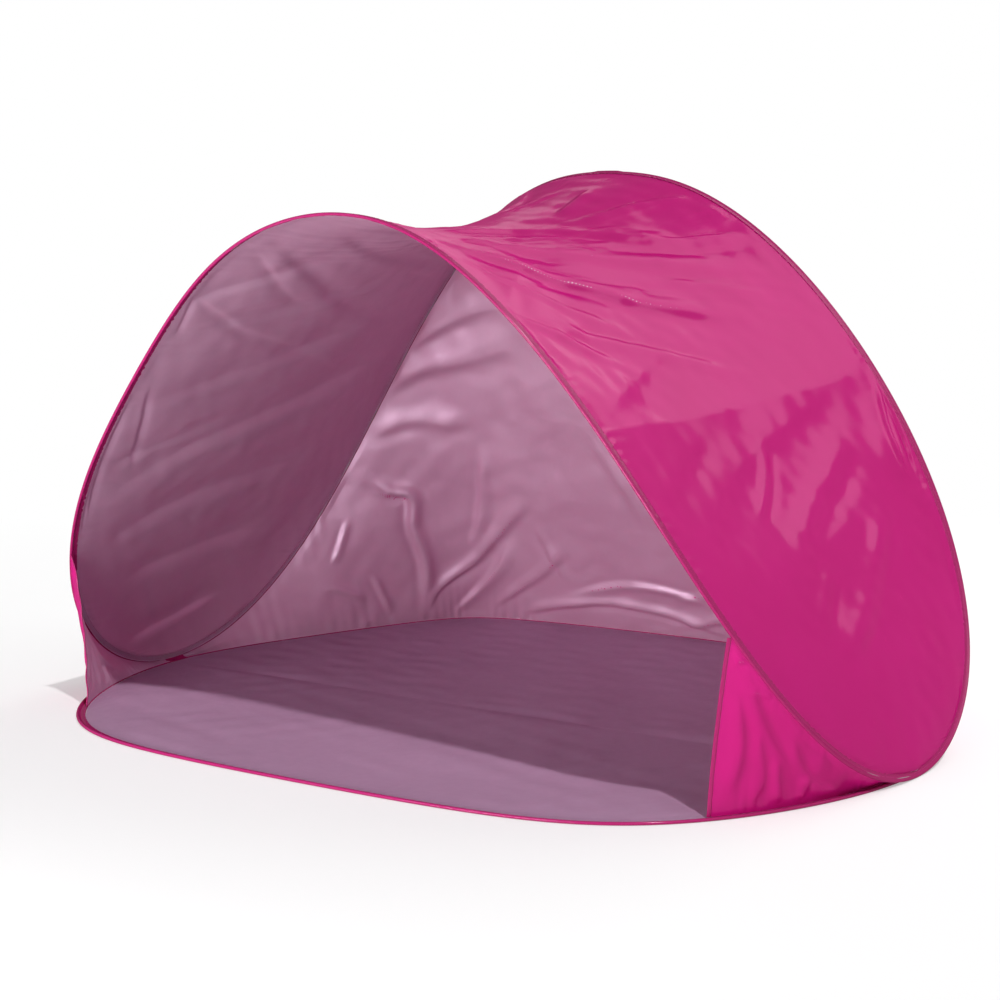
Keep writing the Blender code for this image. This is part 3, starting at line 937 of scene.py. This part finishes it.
wall_folds = (
    (
        [(0.797, 0.1), (0.772, 0.36), (0.75, 0.48), (0.752, 0.592), (0.742, 0.776), (0.748, 0.97)],
        12.5, 9.6, 1.2, 0.9,
    ),
    ([(0.747, 0.99), (0.724, 0.88), (0.666, 0.816), (0.6, 0.67)], 7.5, 6.4, 2.4, 0.9),
    ([(0.713, 0.99), (0.648, 0.864), (0.63, 0.77)], 6.9, 6.4, 2.2, -0.8),
    ([(0.659, 0.5), (0.664, 0.7), (0.682, 0.79)], 6.3, 9.6, 1.2, 0.8),
    ([(0.635, 1), (0.572, 0.944), (0.526, 0.944), (0.478, 1)], 7.5, 8.8, 1, 0.8),
    ([(0.8, 0.66), (0.784, 0.96)], 5, 6.4, 1, 0.8),
    ([(0.812, 0.24), (0.834, 0.44)], 4.4, 6.4, 1, 0.8),
    ([(0.738, 0), (0.689, 0.12), (0.63, 0.22)], 5.6, 9.6, 2.2, 0.8),
    ([(0.762, 0), (0.683, 0.248), (0.605, 0.33)], 6.3, 11.2, 2.2, 0.8),
    ([(0.782, 0.05), (0.709, 0.352), (0.66, 0.45)], 5, 11.2, 1.8, 0.8),
    ([(0.655, 0.98), (0.602, 0.88), (0.575, 0.8)], 5, 6.4, 2.0, 0.8),
    ([(0.585, 0.93), (0.531, 0.88), (0.485, 0.92)], 6.3, 8, 1, -0.8),
    ([(0.605, 0.74), (0.578, 0.9)], 3.7, 7.2, 1, 0.8),
    ([(0.845, 0.56), (0.808, 0.84)], 3.7, 7.2, 1, 0.8),
    ([(0.773, 0.36), (0.764, 0.43), (0.75, 0.49)], -4, 7, 1, 0.3),
    ([(0.56, 0.5), (0.53, 0.66), (0.52, 0.76)], 6.3, 16, 1, 0.6),
)


wall_end_share = 0.012
wall_length = 1.9
wall_waves = ((0.0012, 0.16, 14), (0.0004, 0.05, 20))
wall_puckers = ((0.0011, 0.020, 0.035), (0.0006, 0.018, 0.025))


def make_wall():
    low, high = wall_end_share, 1 - wall_end_share
    u, v, grid, outward, length, normals = laid_out(wall_at, low, high, wall_columns, wall_rows, 0.4)
    height = -folded(wall_at, grid, normals, wall_folds)
    height -= folded(wall_at, grid, normals, mirrored(wall_folds[:13], 0.7))
    edge = np.minimum(v, 1 - v) * length
    height *= smooth(edge / seam_reach)
    height = wavy(height, grid, edge, wall_waves)
    starts = smooth(edge / pucker_start)
    height = gathered(height, u * wall_length, ((1 - v) * length, v * length), starts, wall_puckers)
    grid = grid + normals * height[..., None]
    over_ground_hem(grid)
    made = cloth("back_wall_cloth", grid, grid_normals(grid, outward), length, [outer_cloth, inner_cloth])
    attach(made, "rear_frame")
    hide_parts("back_wall")
    return made


gusset_folds = (
    ([(0.92, 0), (0.97, 0.1)], 3, 6, 1, 0.8),
    ([(0.8, 0.05), (0.9, 0.16)], 3, 7, 1, 0.8),
    ([(0.95, 0.2), (0.9, 0.55), (0.93, 0.9)], 4.5, 9, 1, 0.7),
    ([(0.85, 0.35), (0.8, 0.7), (0.84, 0.97)], 4.5, 9, 1, 0.7),
    ([(0.75, 0.5), (0.72, 0.97)], 4, 8, 1, 0.8),
    ([(0.6, 0.55), (0.63, 0.97)], 3.6, 7, 1, 0.8),
    ([(0.92, 0.02), (0.82, 0.3), (0.66, 0.62)], 3, 10, 1, 1.5),
    ([(0.7, 0.2), (0.6, 0.6), (0.45, 0.85)], 3, 8, 1, 1.2),
)


gusset_start_share = 0.05
gusset_length = 0.45
gusset_waves = ((0.0007, 0.05, 14),)
gusset_puckers = ((0.0009, 0.012, 0.030), (0.0006, 0.012, 0.020))


def make_gusset(name, side):
    low = gusset_start_share
    u, v, grid, outward, length, normals = laid_out(gusset_at, low, 1, gusset_columns, gusset_rows, 0.4)
    height = folded(gusset_at, grid, normals, gusset_folds)
    edge = np.minimum(v, 1 - v) * length
    height *= smooth(edge / seam_reach)
    starts = smooth(edge / pucker_start)
    height = gathered(height, u * gusset_length, ((1 - v) * length, v * length), starts, gusset_puckers)
    height = wavy(height, grid, edge, gusset_waves)
    grid = (grid + normals * height[..., None]) * (side, 1, 1)
    over_ground_hem(grid)
    outward = outward * (side, 1, 1)
    made = cloth(name, grid, grid_normals(grid, outward), length, [outer_cloth, inner_cloth])
    bend_with_base(made)
    return made, grid


def make_binding(name, grid):
    """Folded tape round the gusset's free edge."""
    edge = grid[-1]
    shares = np.linspace(0, 1, binding_stations)
    from_shares = np.linspace(0, 1, len(edge))
    line = np.stack([np.interp(shares, from_shares, edge[:, k]) for k in range(3)], -1)
    along = unit(np.gradient(line, axis=0))
    forward = across(np.repeat((edge - grid[-2]).mean(0)[None], binding_stations, axis=0), along)
    flat = unit(np.cross(along, forward))
    middle = line + forward * (touch_gap + binding_width / 2)
    wide, thick = [np.sign(c) * np.abs(c) ** binding_power for c in circle(binding_sides)]
    wide, thick = wide * binding_width / 2, thick * binding_half_thickness
    rings = middle[:, None] + forward[:, None] * wide[None, :, None] + flat[:, None] * thick[None, :, None]
    faces = tube_faces(binding_stations, binding_sides, False)
    points = rings.reshape(-1, 3)
    if faces_against(points, faces[0], points[faces[0]].mean(0) - rings[0].mean(0)):
        faces = faces[:, ::-1]
    first = list(range(binding_sides))
    last = [k + (binding_stations - 1) * binding_sides for k in first]
    made = new_object(name, points, faces.tolist() + [first[::-1], last], [hem_cloth])
    run = np.repeat(shares * binding_length, binding_sides)
    around = np.tile(np.linspace(0, binding_girth, binding_sides), binding_stations)
    add_uv(made, np.stack([run, around], -1))
    bend_with_base(made)
    return made


floor_end_gap = 0.004
floor_cut = 0.0001
even_share = 0.05
floor_waves = ((0.0010, 0.30, 10), (0.0005, 0.07, 14))
floor_pucker = (0.0009, 0.024, 0.05)
floor_pucker_start = 0.006
floor_calm_reach = 0.05
floor_fold_reach = 0.03


def floor_grid(side):
    """Grid from the fold line out to the ground hem's tail, on one side of the fold line."""
    reach = tail_length + touch_gap
    if side > 0:
        turns = np.linspace(-ground_fold_turn, ground_fold_turn, floor_columns)
    else:
        turns = np.linspace(ground_fold_turn, 1 - ground_fold_turn, floor_columns)
    edge = ground_hoop.at(turns) + ground_band(turns) * reach
    edge = edge[side * (edge[:, 1] - fold_depth) > floor_end_gap]
    ends = np.array([edge[0], edge[-1]])
    low, high = ends[:, 0].min(), ends[:, 0].max()
    # A small even share keeps the lines apart where the ring is wider than the fold line
    even = np.linspace(edge[0, 0], edge[-1, 0], len(edge))
    beside = np.clip(edge[:, 0], low, high)
    beside += even_share * (even - beside)
    start = np.stack([beside, np.full(len(edge), fold_depth + side * floor_cut / 2)], -1)
    shares = np.linspace(0, 1, floor_rows)[None, :, None]
    flat = start[:, None] * (1 - shares) + edge[:, None, :2] * shares
    return np.concatenate([flat, np.full(flat.shape[:2] + (1,), cloth_thickness / 2)], -1)


def make_floor(name, side, body):
    grid = floor_grid(side)
    rows, columns = grid.shape[:2]
    share = np.linspace(0, 1, columns)[None]
    reach = np.linalg.norm(grid[:, -1] - grid[:, 0], axis=-1)[:, None]
    inward = (1 - share) * reach
    calm = smooth(inward / floor_calm_reach) * smooth(share * reach / floor_fold_reach)
    waves = sum(rise * ripples(grid, size, count) for rise, size, count in floor_waves)
    height = calm * np.maximum(waves + floor_waves[0][0], 0)
    rise, pitch, pucker_reach = floor_pucker
    gather = puckers(way_along(grid[:, -1])[:, None], inward, pitch, pucker_reach)
    height += rise * np.maximum(gather, 0) * smooth(inward / floor_pucker_start) * calm**0.2
    grid[..., 2] += height
    outward = np.broadcast_to((0.0, 0.0, 1.0), grid.shape)
    made = cloth(name, grid, outward, reach, [floor_cloth, floor_cloth])
    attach(made, body)
    return made


canopy = make_canopy()
wall = make_wall()
gussets, grids = {}, {}
for word, side in (("right", 1), ("left", -1)):
    gussets[word], grids[word] = make_gusset(f"gusset_{word}_cloth", side)
    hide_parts(f"gusset_{word}")
bindings = {word: make_binding(f"gusset_{word}_tape", grid) for word, grid in grids.items()}
for word, binding in bindings.items():
    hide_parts(f"gusset_binding_{word}")
floor_rear = make_floor("floor_rear_cloth", 1, "rear_frame")
floor_front = make_floor("floor_front_cloth", -1, "front_base")
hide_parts("floor_rear")
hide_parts("floor_front")

loop = np.arange(canopy_hem_stations) / canopy_hem_stations
canopy_hem = hem("canopy_hem", canopy_hoop, loop, True, hem_cloth, lining=inner_cloth)
canopy_thread = hem_stitches("canopy_hem_thread", canopy_hoop, 0, 1, (1, -1), thread)
for piece in (canopy_hem, canopy_thread):
    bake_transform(piece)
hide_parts("canopy_sleeve_rear", "canopy_sleeve_front")

thread_inset_turn = 0.002
for word, low, high, body, side in (
    ("rear", -ground_fold_turn, ground_fold_turn, "rear_frame", 1),
    ("front", ground_fold_turn, 1 - ground_fold_turn, "front_base", -1),
):
    turns = np.linspace(low, high, ground_hem_stations)
    cut = fold_depth + side * touch_gap / 2
    piece = hem(f"ground_hem_{word}", ground_hoop, turns, False, hem_cloth, ((0, cut), (-1, cut)))
    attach(piece, body)
    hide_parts(f"ground_sleeve_{word}")
    first, last = low + thread_inset_turn, high - thread_inset_turn
    row = hem_stitches(f"ground_hem_thread_{word}", ground_hoop, first, last, (1,), thread)
    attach(row, body)

# Ground, lamps and camera


def seen_share(n):
    """1 for what the camera sees, straight, mirrored or through cloth, and 0 for light that falls on cloth.
    A ray scattered through translucent cloth is both transmission and diffuse, so it counts as light."""
    rays = n.add("LightPath").outputs
    seen = n.math("MAXIMUM", rays["Is Camera Ray"], rays["Is Glossy Ray"])
    through = n.math("SUBTRACT", rays["Is Transmission Ray"], rays["Is Diffuse Ray"])
    return n.math("MAXIMUM", seen, through)


stage_near, stage_far = 1.1, 2.6
stage_near_white = 0.38
stage_half = 30.0
stage_drop = 0.0005


def pale_floor():
    """Pale ground that the camera sees as pure white away from the tent."""
    n = Nodes(bpy.data.materials.new("pale_floor"))
    n.fill(n.shader, {"Base Color": rgb(0.94, 0.94, 0.94), "Roughness": 0.9, "Specular IOR Level": 0.1})
    place = n.add("TexCoord").outputs["Object"]
    distance = n.add("VectorMath", {0: place}, operation="LENGTH").outputs["Value"]
    whiteness = n.ramp(distance, stage_near, stage_far, stage_near_white, 1.0)
    white = n.add("Emission", {"Color": rgb(1, 1, 1), "Strength": 1.0})
    return n.mixed_with(n.math("MULTIPLY", whiteness, seen_share(n)), white)


stage_corners = [(x * stage_half, y * stage_half, 0) for x, y in ((-1, -1), (1, -1), (1, 1), (-1, 1))]
stage = new_object("pale_floor", stage_corners, [(0, 1, 2, 3)], [pale_floor()], smooth_shade=False)
stage.location.z = -stage_drop

world_light = 0.15
world = bpy.data.worlds.new("studio")
bpy.context.scene.world = world
sky = Nodes(world)
background = sky.tree.nodes["Background"]
strength = sky.ramp(seen_share(sky), 0.0, 1.0, world_light, 1.0)
sky.fill(background, {"Color": rgb(1, 1, 1), "Strength": strength})


def aim(made, place, target):
    made.location = place
    made.rotation_mode = "QUATERNION"
    made.rotation_quaternion = (Vector(target) - Vector(place)).to_track_quat("-Z", "Y")


def lamp(name, kind, place, target, energy, **settings):
    data = bpy.data.lights.new(name, kind)
    data.energy = energy
    for key, value in settings.items():
        setattr(data, key, value)
    made = bpy.data.objects.new(name, data)
    made.visible_camera = False
    bpy.context.scene.collection.objects.link(made)
    aim(made, place, target)
    return made


centre = (0, 0, 0.3)
lamp("key", "SUN", (1.93, -1.08, 3.63), centre, 1.8, angle=radians(2.0))
for name, place, target, energy, width, height in (
    ("low", (-0.4, -2.0, 0.05), (-0.3, 0, 0.7), 12, 1.6, 0.4),
    ("front", (-0.1, -3.2, 0.35), centre, 85, 2.2, 0.6),
    ("back", (1.5, 2.6, 3.1), centre, 95, 5.0, 1.9),
    ("rear", (-1.2, 4.1, 2.1), centre, 48, 3.0, 1.6),
):
    lamp(name, "AREA", place, target, energy, shape="RECTANGLE", size=width, size_y=height)

# The camera as fitted to the photo: angles in degrees, distance and target in metres
camera_azimuth, camera_elevation = radians(33.956), radians(7.627)
camera_distance = 3.6837
camera_target = Vector((-0.0872, 0.0308, 0.3420))
camera_sensor = 36
camera_lens = 75.6
level_reach = cos(camera_elevation)
back = Vector((sin(camera_azimuth) * level_reach, -cos(camera_azimuth) * level_reach, sin(camera_elevation)))
camera_data = bpy.data.cameras.new("camera")
camera_data.sensor_width = camera_sensor
camera_data.lens = camera_lens
camera = bpy.data.objects.new("camera", camera_data)
bpy.context.scene.collection.objects.link(camera)
aim(camera, camera_target + back * camera_distance, camera_target)
bpy.context.scene.camera = camera
bpy.context.scene.view_settings.view_transform = "Standard"
